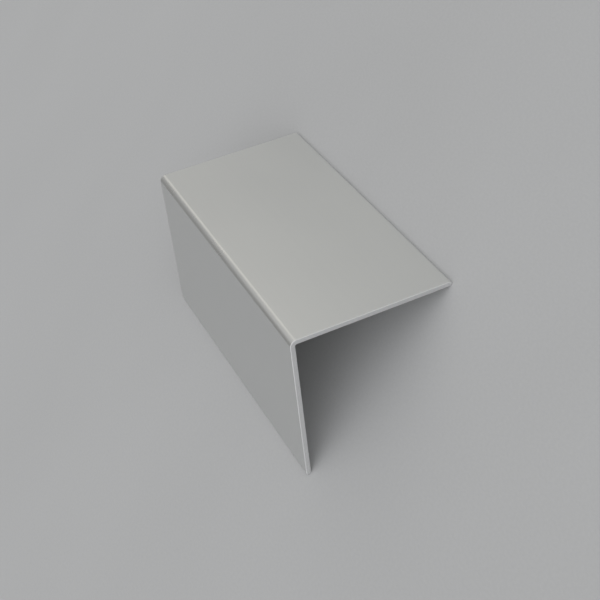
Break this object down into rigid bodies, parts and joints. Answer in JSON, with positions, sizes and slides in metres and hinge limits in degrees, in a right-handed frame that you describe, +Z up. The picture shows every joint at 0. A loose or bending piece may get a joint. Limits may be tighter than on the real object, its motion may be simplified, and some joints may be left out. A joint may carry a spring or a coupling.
{
  "type": "aluminium angle",
  "caption": "Short length of extruded aluminium angle, with plain flat legs at right angles, a softly rounded ridge, rounded toes and sawn ends, for edging, bracing and framing.",
  "frame": {"origin": "on the floor, midway between the toes and midway between the sawn ends", "axes": "+Z up through the ridge, +Y along the length, +X from toe to toe across the open side"},
  "size_m": [0.07, 0.1, 0.0353],
  "materials": {
    "anodised_aluminium": "satin, matte etched and clear anodised, with bare sawn ends"
  },
  "bodies": {
    "root": {"angle": "anodised_aluminium"}
  },
  "joints": []
}
